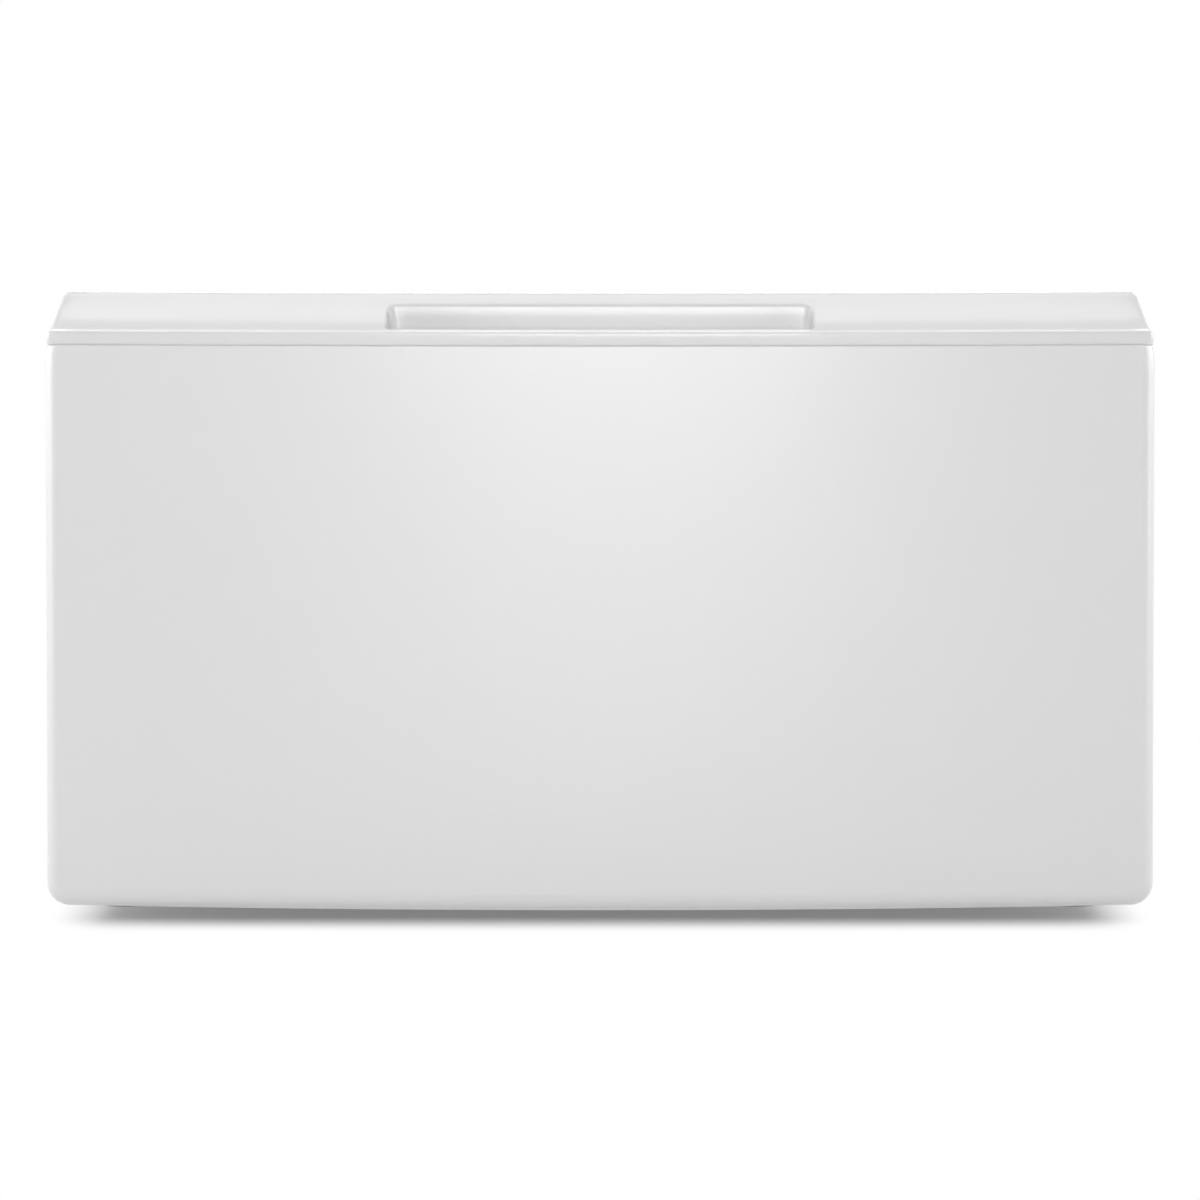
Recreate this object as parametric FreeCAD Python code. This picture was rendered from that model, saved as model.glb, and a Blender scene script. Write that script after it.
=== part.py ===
import FreeCAD, Part
import math
import os

# Overall size in mm. X is the width, Y the depth and Z the height. The front faces -Y
width = 686.0
height = 394.0
depth = 651.0

# Gaps and allowances
overrun = 6.0  # how far every cut runs past the face that it opens
lap_gap = 0.2  # between sheets that lie in one another
moving_gap = 0.3  # between pieces that come to rest on one another
thread_gap = 0.06  # radial, for threads, pivots and swivels
hole_gap = 0.1  # radial, for fasteners in sheet
tolerance = 0.001  # for finding edges by where they lie

# Drawer front: a bowed steel pan with rounded edges, open at the rear
front_bow = 38.0
front_end_thickness = 45.0
panel_bottom = 14.0
panel_sheet = 1.0
panel_edge_round = 10.5
panel_bottom_corner = 14.0
panel_top_round = 1.0
panel_taper_in = 1.5
panel_taper_height = 15.0
panel_seam = 0.2
inner_rim_depth = 18.0

# Handle trim: a bead, a hollow slope and a flat crest behind it
trim_height = 32.2
trim_inset = 1.0
trim_wall = 2.5
trim_end_draft = 8.5
trim_corner_round = 6.0
bead_setback = 1.0
bead_height = 8.7
bead_round = 3.0
bead_toe_chamfer = 0.8
slope_depth = 41.0
slope_sag_share = 0.035
crest_run = 6.0
crest_drop = 1.8
crest_bulge_share = 0.07
boss_radius = 4.0
boss_setback = 41.5
boss_row_length = 540.0
boss_count = 4
boss_hole_depth = 14.0

# Finger pocket in the slope of the trim
pocket_width = 266.0
pocket_lip = 8.0
pocket_opening = 25.0
pocket_reach = 18.0
pocket_draft = 2.0
pocket_end_draft = 5.0
pocket_wall = 2.5
pocket_round = 1.2

# Cabinet sheet work
cabinet_gap = 5.5
cabinet_inset = 3.0
cabinet_bottom = 22.0
cabinet_sheet = 1.0
cabinet_flange = 22.0
bend_radius = 2.5
lid_drop = 25.0
lid_sheet = 1.2
lid_skirt = 14.0
lid_edge_round = 1.0
rail_sheet = 1.2
rail_depth = 20.0
top_rail_height = 32.0
base_rail_height = 32.0

# Raised and sunk fields that stiffen the flat sheets
lid_field_width = 420.0
lid_field_depth = 330.0
lid_field_sink = 3.0
rear_rib_width = 500.0
rear_rib_height = 46.0
rear_rib_rise = 5.0
rear_rib_margin = 24.0
rear_rib_count = 3
base_rib_width = 520.0
base_rib_depth = 36.0
base_rib_sink = 2.5
base_rib_row_length = 360.0
base_rib_count = 4

# Holes in the top plate for bolting down the appliance
bolt_span_x = 572.0
bolt_span_y = 458.0
bolt_hole_radius = 6.5

# Levelling feet, their brackets and nuts
bracket_size = 72.0
bracket_sheet = 2.5
bracket_wall = 30.0
foot_setback = 58.0  # of the front feet's brackets behind the base rail
stem_radius = 5.0
stem_travel = 25.0
stem_spare = 2.5
stem_tip = 1.0
weld_nut_height = 8.0
lock_nut_height = 5.3
nut_across_flats = 17.0
hex_across_flats = 13.0
hex_height = 5.0
hex_gap = 0.4
swivel_radius = 8.0
swivel_height = 3.0
swivel_floor = 4.0
pad_radius = 17.0
pad_top_radius = 12.0
pad_rim = 5.0

# Telescopic slides: three nested channels with balls between them
channel_depth = 21.0
channel_height = 70.0
channel_tail = 37.0
slide_level = 150.0
slide_rear_margin = 11.5
slide_setback = 5.0
slide_thickness = 12.7
slide_sheet = 1.2
slide_inner_height = 23.0
outer_lip_back = 1.7
middle_lip_back = 0.7
ball_diameter = 3.9
ball_play = 0.2
ball_offset = 7.0
ball_row_length = 154.0
ball_count = 8
retainer_sheet = 0.5
retainer_gap = 0.25
retainer_margin = 1.0
retainer_length = 190.0
retainer_start = 150.0

# Release levers on the inner slide members
lever_pivot = 95.0
lever_length = 58.0
lever_height = 7.0
lever_eye_radius = 4.5
lever_pin_radius = 2.0
lever_pin_length = 5.6
lever_thickness = 2.0
lever_standoff = 3.0

# Drawer box
drawer_bottom = 62.0
drawer_headroom = 18.0
drawer_rear_room = 35.8
drawer_sheet = 1.0
drawer_flange = 10.0

# Divider, its front rail and its hooks
divider_sheet = 1.5
divider_floor_gap = 4.0
divider_play = 0.7
hook_width = 24.0
hook_wall = 3.0
hook_drop = 10.0
divider_rail_reach = 14.0
divider_rail_drop = 14.0
divider_rail_upstand = 16.0
divider_rail_below = 3.0

# Fasteners and bumpers
screw_radius = 2.0
screw_length = 8.0
screw_head_radius = 3.5
screw_head_height = 2.0
screw_head_round = 0.8
screw_slot_width = 0.9
screw_slot_depth = 1.0
flat_head_radius = 4.0
flat_head_height = 1.2
rivet_radius = 2.2
rivet_head_radius = 3.8
rivet_head_height = 1.6
rivet_end_margin = 60.0
rivet_count = 3
front_screw_margin = 40.0
front_screw_count = 3
rear_screw_margin = 70.0
rear_screw_count = 3
lid_screw_margin = 100.0
bumper_radius = 6.0
bumper_round = 1.5
bumper_margin = 40.0

# Where things lie, worked out from the sizes above
front_y = -depth / 2
rear_y = depth / 2
trim_bottom = height - trim_height
panel_top = trim_bottom - panel_seam
bow_radius = ((width / 2) ** 2 + front_bow**2) / (2 * front_bow)
front_rear_y = front_y + front_bow + front_end_thickness
cabinet_front_y = front_rear_y + cabinet_gap
cabinet_rear_y = rear_y - lid_sheet
cabinet_half = width / 2 - cabinet_inset
lid_top = height - lid_drop
cabinet_top = lid_top - lid_sheet
lid_half = cabinet_half + lid_sheet
lid_front_y = cabinet_front_y - lid_sheet
web_inside = cabinet_half - cabinet_sheet
rail_half = web_inside - bend_radius
bracket_half = web_inside - lap_gap
rail_front_y = cabinet_front_y + cabinet_sheet
rear_panel_y = cabinet_rear_y - cabinet_sheet
rear_rail_y = rear_panel_y - cabinet_sheet
floor_level = cabinet_bottom + cabinet_sheet
slide_face = web_inside - channel_depth
slide_front_y = cabinet_front_y + slide_setback
drawer_half = slide_face - slide_thickness
drawer_rear_y = rear_panel_y - drawer_rear_room
slide_rear_y = drawer_rear_y - slide_rear_margin
top_rail_low = cabinet_top - cabinet_sheet - top_rail_height
drawer_top = top_rail_low - drawer_headroom
drawer_inside = drawer_half - drawer_sheet
base_top = drawer_bottom + 2 * drawer_sheet
rear_wall_y = drawer_rear_y - 2 * drawer_sheet
rear_wall_top = drawer_top - drawer_sheet
race_gap = ball_diameter + 2 * ball_play
inner_half = slide_inner_height / 2
middle_half = inner_half + race_gap + slide_sheet
outer_half = middle_half + race_gap + slide_sheet
web_step = slide_sheet + 2 * retainer_gap + retainer_sheet
divider_rail_top = drawer_top - divider_rail_below
divider_rail_y = front_rear_y + divider_rail_reach
bracket_x = bracket_half - bracket_size / 2
bracket_front_y = rail_front_y + rail_depth + foot_setback + bracket_size / 2
bracket_rear_y = rear_rail_y - rail_depth - lap_gap - bracket_size / 2
plate_top = floor_level + bracket_sheet
lock_nut_bottom = floor_level - lock_nut_height
hex_top = lock_nut_bottom - hex_gap
hex_bottom = hex_top - hex_height
pad_top = hex_bottom - moving_gap
stem_top = plate_top + weld_nut_height + stem_travel + stem_spare

right_way = FreeCAD.Vector(1, 0, 0)
back_way = FreeCAD.Vector(0, 1, 0)
up_way = FreeCAD.Vector(0, 0, 1)
origin = FreeCAD.Vector(0, 0, 0)
bow_axis = FreeCAD.Vector(0, front_y + bow_radius, 0)


# Plain shapes


def at(x, y, z):
    return FreeCAD.Vector(x, y, z)


def box(x_low, x_high, y_low, y_high, z_low, z_high):
    corner = at(x_low, y_low, z_low)
    return Part.makeBox(x_high - x_low, y_high - y_low, z_high - z_low, corner)


def rod(radius, start, way, length):
    return Part.makeCylinder(radius, length, start, way)


def mirrored(shape):
    return shape.mirror(origin, right_way)


def drilled(shape, point, way, radius):
    # a hole that runs past the point on both sides
    return shape.cut(rod(radius, point - way * overrun, way, 2 * overrun))


def line(start, end):
    return Part.LineSegment(start, end).toShape()


def arc(start, middle, end):
    return Part.Arc(start, middle, end).toShape()


def face_of(edges):
    return Part.Face(Part.Wire(edges))


def polygon(points):
    return Part.Face(Part.makePolygon(points + points[:1]))


def rounded_uprights(shape, x, radius):
    # rounds the edges that run along Z at this x
    edges = [e for e in shape.Edges if lies_at_x(e, x) and runs_up(e)]
    return shape.makeFillet(radius, edges)


def lies_at_x(edge, x):
    return all(abs(v.X - x) < tolerance for v in edge.Vertexes)


def runs_up(edge):
    size = edge.BoundBox
    return size.ZLength > max(size.XLength, size.YLength)


def side_tray(x_out, flange, y_low, y_high, z_low, z_high, sheet):
    # a sheet upright in the YZ plane, with all four edges folded inwards
    x_in = x_out - flange
    outer = box(x_in, x_out, y_low, y_high, z_low, z_high)
    outer = rounded_uprights(outer, x_out, bend_radius)
    x_web = x_out - sheet
    inner = box(x_in - overrun, x_web, y_low + sheet, y_high - sheet, z_low + sheet, z_high - sheet)
    inner = rounded_uprights(inner, x_web, bend_radius - sheet)
    return outer.cut(inner)


def frustum(half_x, half_y, centre, rise):
    # a flat pad with sides at 45 degrees, from the plane through its centre
    lean = abs(rise)
    wide = rectangle(half_x, half_y, centre)
    narrow = rectangle(half_x - lean, half_y - lean, centre + up_way * rise)
    return Part.makeLoft([wide, narrow], True)


def rectangle(half_x, half_y, centre):
    corners = [(-half_x, -half_y), (half_x, -half_y), (half_x, half_y), (-half_x, half_y)]
    points = [centre + at(x, y, 0) for x, y in corners]
    return Part.makePolygon(points + points[:1])


def sunk_field(plate, half_x, half_y, top_centre, sink, sheet):
    # presses a field down in a level sheet whose upper face goes through top_centre
    under = top_centre - up_way * sheet
    lowered = plate.fuse(frustum(half_x, half_y, under, -sink))
    return lowered.cut(frustum(half_x, half_y, top_centre, -sink))


def hex_prism(across_flats, centre, z_low, z_high):
    corner = across_flats / 2 / math.cos(math.pi / 6)
    turns = [math.pi * step / 3 for step in range(6)]
    points = [centre + at(corner * math.cos(t), corner * math.sin(t), z_low) for t in turns]
    return polygon(points).extrude(up_way * (z_high - z_low))


def channel(x_web, x_lip, y_low, y_high, half_height, sheet):
    # a C section along Y at the slide's level, with its back at x_web and its open side at x_lip
    way = math.copysign(1, x_lip - x_web)
    low = slide_level - half_height
    high = slide_level + half_height
    block = span(x_web, x_lip, y_low, y_high, low, high)
    room_web = x_web + way * sheet
    room_lip = x_lip + way * overrun
    room = span(room_web, room_lip, y_low - overrun, y_high + overrun, low + sheet, high - sheet)
    return block.cut(room)


def span(x_one, x_other, y_low, y_high, z_low, z_high):
    return box(min(x_one, x_other), max(x_one, x_other), y_low, y_high, z_low, z_high)


def spread(low, high, count):
    return [low + (high - low) * step / (count - 1) for step in range(count)]


# Drawer front


def at_depth(depth_in, z):
    return at(0, front_y + depth_in, z)


def bulged(start, end, share):
    # an arc in the plane x = 0 that leaves its chord by a share of the chord's length
    chord = end - start
    middle = (start + end) / 2 + at(0, -chord.z, chord.y) * share
    return arc(start, middle, end)


def bowed(face):
    # turns a face in the plane x = 0 about the axis of the front's bow
    half_angle = math.degrees(math.asin((width / 2 + overrun) / bow_radius))
    turned = face.copy()
    turned.rotate(bow_axis, up_way, -half_angle)
    return turned.revolve(bow_axis, up_way, 2 * half_angle)


def front_outline(inset):
    # the panel as seen from the front: rounded lower corners, and sides that draw in at the top
    half = width / 2 - inset
    low = panel_bottom + inset
    top = panel_top - inset
    corner = panel_bottom_corner - inset
    bulge = corner * math.sqrt(0.5)
    taper = top - panel_taper_height
    edges = [line(at(corner - half, 0, low), at(half - corner, 0, low))]
    for side in (1, -1):
        foot = at(side * (half - corner), 0, low)
        turn = at(side * (half - corner + bulge), 0, low + corner - bulge)
        heel = at(side * half, 0, low + corner)
        shoulder = at(side * half, 0, taper)
        bend = at(side * (half - panel_taper_in / 4), 0, (taper + top) / 2)
        tip = at(side * (half - panel_taper_in), 0, top)
        edges += [arc(foot, turn, heel), line(heel, shoulder), arc(shoulder, bend, tip)]
    tip_x = half - panel_taper_in
    edges.append(line(at(tip_x, 0, top), at(-tip_x, 0, top)))
    return Part.Face(Part.Wire(Part.__sortEdges__(edges)))


def front_prism(inset, y_low, y_high):
    outline = front_outline(inset)
    outline.translate(back_way * y_low)
    return outline.extrude(back_way * (y_high - y_low))


def front_plan(inset, y_high):
    # runs past both sides, which the outline seen from the front then trims
    half = width / 2 + overrun
    radius = bow_radius - inset
    end_y = bow_axis.y - math.sqrt(radius**2 - half**2)
    left = at(-half, end_y, 0)
    right = at(half, end_y, 0)
    nose = at(0, front_y + inset, 0)
    rear_left = at(-half, y_high, 0)
    rear_right = at(half, y_high, 0)
    edges = [arc(left, nose, right), line(right, rear_right)]
    edges += [line(rear_right, rear_left), line(rear_left, left)]
    return face_of(edges).extrude(up_way * height)


def front_block(inset):
    y_high = front_rear_y + (overrun if inset else 0)
    prism = front_prism(inset, front_y - overrun, y_high)
    block = front_plan(inset, y_high + overrun).common(prism).Solids[0]
    bow = max(block.Faces, key=lambda f: -f.CenterOfMass.y)
    top = panel_top - inset
    edges = [e for e in bow.Edges if e.BoundBox.ZMin < top - tolerance]
    return block.makeFillet(panel_edge_round - inset, edges)


def drawer_front_panel():
    outer = front_block(0)
    top_edges = [e for e in outer.Edges if e.BoundBox.ZMin > panel_top - tolerance]
    crown = [e for e in top_edges if not isinstance(e.Curve, Part.Line)]
    pan = outer.makeFillet(panel_top_round, crown).cut(front_block(panel_sheet))
    for x in boss_places():
        pan = drilled(pan, at(x, front_y + boss_setback, panel_top), up_way, screw_radius + hole_gap)
    return pan.cut(pocket_block(pocket_wall + lap_gap))


def drawer_inner_panel():
    inset = panel_sheet + lap_gap
    rim_y = front_rear_y - inner_rim_depth
    outer = front_prism(inset, rim_y, front_rear_y)
    inner = front_prism(inset + panel_sheet, rim_y - overrun, front_rear_y - panel_sheet)
    panel = outer.cut(inner)
    for point in front_screw_places():
        panel = drilled(panel, point, back_way, screw_radius + hole_gap)
    return panel


# Handle trim and its finger pocket


def trim_profile(inset):
    low = trim_bottom - (overrun if inset else 0)
    front = bead_setback + inset
    top = height - inset
    bead_top = trim_bottom + bead_height - inset
    turn = bead_round - inset
    far = front_bow + front_end_thickness + overrun
    quarter_bulge_share = (math.sqrt(2) - 1) / 2
    chamfer = 0 if inset else bead_toe_chamfer
    foot = at_depth(front + chamfer, low)
    toe = at_depth(front, low + chamfer)
    bead = at_depth(front, bead_top - turn)
    ledge = at_depth(front + turn, bead_top)
    crest = at_depth(slope_depth, top - crest_drop)
    flat = at_depth(slope_depth + crest_run, top)
    rear_top = at_depth(far, top)
    rear_low = at_depth(far, low)
    edges = [] if inset else [line(foot, toe)]
    edges += [line(toe, bead), bulged(bead, ledge, quarter_bulge_share)]
    edges += [bulged(ledge, crest, -slope_sag_share), bulged(crest, flat, crest_bulge_share)]
    edges += [line(flat, rear_top), line(rear_top, rear_low), line(rear_low, foot)]
    return face_of(edges)


def trim_ends(inset):
    low = trim_bottom - (overrun if inset else 0)
    top = height - inset
    wide = width / 2 - trim_inset - inset
    narrow = wide - trim_end_draft
    face = polygon([at(-wide, 0, low), at(wide, 0, low), at(narrow, 0, top), at(-narrow, 0, top)])
    face.translate(back_way * (front_y - overrun))
    block = face.extrude(back_way * (front_rear_y - inset - front_y + overrun))
    edges = [e for e in block.Edges if runs_back(e) and e.BoundBox.ZMin > top - tolerance]
    return block.makeFillet(trim_corner_round - inset, edges)


def runs_back(edge):
    size = edge.BoundBox
    return size.YLength > max(size.XLength, size.ZLength)


def trim_block(inset):
    return bowed(trim_profile(inset)).common(trim_ends(inset))


def pocket_block(grow):
    back = pocket_lip + pocket_opening
    floor = trim_bottom - pocket_reach - grow
    top = height + overrun
    lip_top = at_depth(pocket_lip - grow, top)
    lip_low = at_depth(pocket_lip + pocket_draft - grow, floor)
    back_low = at_depth(back - pocket_draft + grow, floor)
    back_top = at_depth(back + grow, top)
    ring = bowed(polygon([lip_top, lip_low, back_low, back_top]))
    near = pocket_half(0) + grow
    far = pocket_half(slope_depth) + grow
    far_y = front_y + slope_depth
    front_line = [at(-near, front_y, floor), at(near, front_y, floor)]
    back_line = [at(far, far_y, floor), at(-far, far_y, floor)]
    return ring.common(polygon(front_line + back_line).extrude(up_way * (top - floor)))


def pocket_half(depth_in):
    return pocket_width / 2 - pocket_end_draft * (depth_in - pocket_lip) / pocket_opening


def boss_places():
    reach = boss_row_length / 2
    return spread(-reach, reach, boss_count)


def trim_bosses(limit):
    bosses = []
    for x in boss_places():
        foot = at(x, front_y + boss_setback, panel_top)
        post = rod(boss_radius, foot, up_way, height - panel_top).common(limit)
        hole = rod(screw_radius, foot - up_way * overrun, up_way, overrun + boss_hole_depth)
        bosses.append(post.cut(hole))
    return bosses


def handle_trim():
    outer = trim_block(0)
    shell = outer.cut(trim_block(trim_wall))
    below = box(-width / 2, width / 2, front_y, front_rear_y, panel_bottom, trim_bottom)
    limit = outer.fuse(below)
    trim = shell.fuse(pocket_block(pocket_wall).common(limit))
    trim = trim.fuse(trim_bosses(limit)).removeSplitter()
    pocket = pocket_block(0)
    trim = trim.cut(pocket)
    rim = [e for e in trim.Edges if on_both(e, outer.Shells[0], pocket.Shells[0])]
    return trim.makeFillet(pocket_round, rim)


def on_both(edge, one_skin, other_skin):
    # true for an edge where the pocket meets the outside of the trim
    middle = Part.Vertex(edge.valueAt((edge.FirstParameter + edge.LastParameter) / 2))
    return all(middle.distToShape(skin)[0] < tolerance for skin in (one_skin, other_skin))


# Cabinet


def cabinet_side():
    ends = (cabinet_front_y, cabinet_rear_y, cabinet_bottom, cabinet_top)
    side = side_tray(cabinet_half, cabinet_flange, *ends, cabinet_sheet)
    for point in rear_screw_places():
        side = drilled(side, point, back_way, screw_radius + hole_gap)
    for point in lid_screw_places():
        side = drilled(side, point, right_way, screw_radius + hole_gap)
    return side


def rear_panel():
    # drawn lying flat, with its lower edge along X, and then stood up
    tall = cabinet_top - cabinet_sheet - floor_level
    flat = box(-rail_half, rail_half, -tall, 0, -cabinet_sheet, 0)
    margin = rear_rib_margin + rear_rib_height / 2
    rib = (rear_rib_width / 2, rear_rib_height / 2)
    for level in spread(base_rail_height + margin, tall - margin, rear_rib_count):
        flat = sunk_field(flat, *rib, at(0, -level, 0), rear_rib_rise, cabinet_sheet)
    flat.rotate(origin, right_way, -90)
    flat.translate(at(0, rear_panel_y, floor_level))
    for point in rear_screw_places():
        for side in (1, -1):
            flat = drilled(flat, at(side * point.x, point.y, point.z), back_way, screw_radius + hole_gap)
    return flat


def top_plate():
    low = lid_top - lid_skirt
    outer = box(-lid_half, lid_half, lid_front_y, rear_y, low, lid_top)
    uprights = [e for e in outer.Edges if runs_up(e)]
    outer = outer.makeFillet(bend_radius + lid_sheet, uprights)
    rim = [e for e in outer.Edges if e.BoundBox.ZMin > lid_top - tolerance]
    outer = outer.makeFillet(lid_edge_round, rim)
    inner = box(-cabinet_half, cabinet_half, cabinet_front_y, cabinet_rear_y, low - overrun, cabinet_top)
    inner = inner.makeFillet(bend_radius, [e for e in inner.Edges if runs_up(e)])
    centre = at(0, (lid_front_y + rear_y) / 2, lid_top)
    field = (lid_field_width / 2, lid_field_depth / 2)
    lid = sunk_field(outer.cut(inner), *field, centre, lid_field_sink, lid_sheet)
    for x in (-bolt_span_x / 2, bolt_span_x / 2):
        for y in (-bolt_span_y / 2, bolt_span_y / 2):
            lid = drilled(lid, centre + at(x, y, 0), up_way, bolt_hole_radius)
    for point in lid_screw_places():
        for side in (1, -1):
            lid = drilled(lid, at(side * point.x, point.y, point.z), right_way, screw_radius + hole_gap)
    return lid


def rail(y_web, y_lip, z_low, z_high):
    # a C section along X between the side panels, with its back at y_web
    way = math.copysign(1, y_lip - y_web)
    low_y = min(y_web, y_lip)
    high_y = max(y_web, y_lip)
    block = box(-rail_half, rail_half, low_y, high_y, z_low, z_high)
    room_y = sorted([y_web + way * rail_sheet, y_lip + way * overrun])
    room = box(-width, width, room_y[0], room_y[1], z_low + rail_sheet, z_high - rail_sheet)
    return block.cut(room)


def front_top_rail():
    return rail(rail_front_y, rail_front_y + rail_depth, top_rail_low, top_rail_low + top_rail_height)


def front_base_rail():
    return rail(rail_front_y, rail_front_y + rail_depth, floor_level, floor_level + base_rail_height)


def rear_base_rail():
    return rail(rear_rail_y, rear_rail_y - rail_depth, floor_level, floor_level + base_rail_height)


def drawer_bumpers():
    bumpers = []
    x = cabinet_half - cabinet_flange / 2
    for side in (1, -1):
        for z in (drawer_bottom + bumper_margin, drawer_top - bumper_margin):
            start = at(side * x, cabinet_front_y, z)
            bumper = rod(bumper_radius, start, -back_way, cabinet_gap - moving_gap)
            nose = [e for e in bumper.Edges if e.BoundBox.YMax < cabinet_front_y - moving_gap]
            bumpers.append(bumper.makeFillet(bumper_round, nose))
    return Part.makeCompound(bumpers)


# Feet


def foot_places():
    return {
        "front_left": at(-bracket_x, bracket_front_y, 0),
        "front_right": at(bracket_x, bracket_front_y, 0),
        "rear_left": at(-bracket_x, bracket_rear_y, 0),
        "rear_right": at(bracket_x, bracket_rear_y, 0),
    }


def foot_bracket(centre):
    # a plate with one wall against the cabinet's side and one across its outer end
    half = bracket_size / 2
    high = floor_level + bracket_wall
    block = box(centre.x - half, centre.x + half, centre.y - half, centre.y + half, floor_level, high)
    side = math.copysign(1, centre.x)
    end = -1 if centre.y == bracket_front_y else 1
    low = -half - overrun
    wall = half - bracket_sheet
    room = box(low, wall, low, wall, plate_top, high + overrun)
    room = room if side > 0 else mirrored(room)
    room = room if end > 0 else room.mirror(origin, back_way)
    room.translate(at(centre.x, centre.y, 0))
    hole = rod(stem_radius + moving_gap, centre, up_way, high)
    return block.cut(room).cut(hole)


def threaded_nuts(z_low, z_high):
    nuts = []
    for centre in foot_places().values():
        nut = hex_prism(nut_across_flats, centre, z_low, z_high)
        nuts.append(nut.cut(rod(stem_radius + thread_gap, centre, up_way, height)))
    return Part.makeCompound(nuts)


def foot_stem(centre):
    head_low = centre + up_way * swivel_floor
    shank = rod(stem_radius, head_low, up_way, stem_top - swivel_floor)
    top = [e for e in shank.Edges if e.BoundBox.ZMin > stem_top - tolerance]
    shank = shank.makeChamfer(stem_tip, top)
    head = rod(swivel_radius, head_low, up_way, swivel_height)
    wrench = hex_prism(hex_across_flats, centre, hex_bottom, hex_top)
    return shank.fuse([head, wrench]).removeSplitter()


def foot_pad(centre):
    base = rod(pad_radius, centre, up_way, pad_rim)
    cone = Part.makeCone(pad_radius, pad_top_radius, pad_top - pad_rim, centre + up_way * pad_rim, up_way)
    pad = base.fuse(cone)
    head_low = centre + up_way * (swivel_floor - thread_gap)
    head_room = rod(swivel_radius + thread_gap, head_low, up_way, swivel_height + 2 * thread_gap)
    neck_room = rod(stem_radius + thread_gap, head_low, up_way, height)
    return pad.cut(head_room).cut(neck_room)


# Slides, right-hand side


def slide_channel():
    high = slide_level + channel_height / 2
    low = slide_level - channel_height / 2
    y_high = slide_rear_y + channel_tail
    block = box(slide_face, web_inside, slide_front_y, y_high, low, high)
    room_x = slide_face + rail_sheet
    room_y = (slide_front_y - overrun, y_high + overrun)
    body = block.cut(box(room_x, web_inside + overrun, *room_y, low + rail_sheet, high - rail_sheet))
    return riveted(body, slide_face)


def slide_outer():
    lip = slide_face - slide_thickness + outer_lip_back
    body = channel(slide_face, lip, slide_front_y, slide_rear_y, outer_half, slide_sheet)
    return riveted(body, slide_face)


def slide_middle():
    lip = drawer_half + middle_lip_back
    web = slide_face - web_step
    return channel(web, lip, slide_front_y, slide_rear_y, middle_half, slide_sheet)


def slide_inner():
    lip = slide_face - 2 * web_step
    body = channel(drawer_half, lip, slide_front_y, slide_rear_y, inner_half, slide_sheet)
    pin = rod(lever_pin_radius, lever_centre(), right_way, lever_pin_length)
    return riveted(body.fuse(pin).removeSplitter(), drawer_half)


def rivet_places():
    return spread(slide_front_y + rivet_end_margin, slide_rear_y - rivet_end_margin, rivet_count)


def riveted(shape, x):
    for y in rivet_places():
        shape = drilled(shape, at(x, y, slide_level), right_way, rivet_radius + hole_gap)
    return shape


def ball_rows(half_height):
    # the middle of each ball: two rows, one over and one under the smaller channel
    row = half_height + race_gap / 2
    middle_y = slide_front_y + retainer_start + retainer_length / 2
    reach = ball_row_length / 2
    places = []
    x = slide_face - ball_offset
    for level in (slide_level - row, slide_level + row):
        places += [at(x, middle_y + step, level) for step in spread(-reach, reach, ball_count)]
    return places


def ball_retainer(web, half_height):
    lip = slide_face - ball_offset - ball_diameter / 2 - retainer_margin
    y_low = slide_front_y + retainer_start
    row = half_height + race_gap / 2 + retainer_sheet / 2
    body = channel(web, lip, y_low, y_low + retainer_length, row, retainer_sheet)
    for place in ball_rows(half_height):
        hole_low = place - up_way * retainer_margin
        body = body.cut(rod(ball_diameter / 2 + thread_gap, hole_low, up_way, 2 * retainer_margin))
    return body


def bearing_balls(half_height):
    return Part.makeCompound([Part.makeSphere(ball_diameter / 2, place) for place in ball_rows(half_height)])


def lever_centre():
    return at(drawer_half + slide_sheet, slide_front_y + lever_pivot, slide_level)


def release_lever():
    centre = lever_centre() + right_way * lever_standoff
    eye = rod(lever_eye_radius, centre, right_way, lever_thickness)
    low = slide_level - lever_height / 2
    tip_y = centre.y - lever_length
    arm = box(centre.x, centre.x + lever_thickness, tip_y, centre.y, low, low + lever_height)
    tip = [e for e in arm.Edges if e.BoundBox.YMax < tip_y + tolerance and e.BoundBox.XLength > tolerance]
    arm = arm.makeFillet(lever_thickness, tip)
    return drilled(eye.fuse(arm).removeSplitter(), centre, right_way, lever_pin_radius + thread_gap)


# Drawer box


def drawer_side():
    ends = (front_rear_y, drawer_rear_y, drawer_bottom, drawer_top)
    side = riveted(side_tray(drawer_half, drawer_flange, *ends, drawer_sheet), drawer_half)
    for point in front_screw_places():
        side = drilled(side, point, back_way, screw_radius + hole_gap)
    return side


def drawer_base():
    half = drawer_inside - lap_gap
    y_low = front_rear_y + drawer_sheet
    plate = box(-half, half, y_low, rear_wall_y, drawer_bottom + drawer_sheet, base_top)
    middle = (y_low + rear_wall_y) / 2
    reach = base_rib_row_length / 2
    for offset in spread(-reach, reach, base_rib_count):
        centre = at(0, middle + offset, base_top)
        plate = sunk_field(plate, base_rib_width / 2, base_rib_depth / 2, centre, base_rib_sink, drawer_sheet)
    return plate


def drawer_rear_wall():
    half = drawer_inside - bend_radius
    low = drawer_bottom + drawer_sheet
    return box(-half, half, rear_wall_y, rear_wall_y + drawer_sheet, low, rear_wall_top)


def divider_rail():
    half = drawer_half - drawer_flange - lap_gap
    web_low = divider_rail_top - divider_rail_upstand
    web_high = web_low + rail_sheet
    plate = box(-half, half, front_rear_y, front_rear_y + rail_sheet, web_low - divider_rail_drop, web_high)
    shelf = box(-half, half, front_rear_y, divider_rail_y, web_low, web_high)
    upstand = box(-half, half, divider_rail_y - rail_sheet, divider_rail_y, web_low, divider_rail_top)
    return plate.fuse([shelf, upstand]).removeSplitter()


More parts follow.
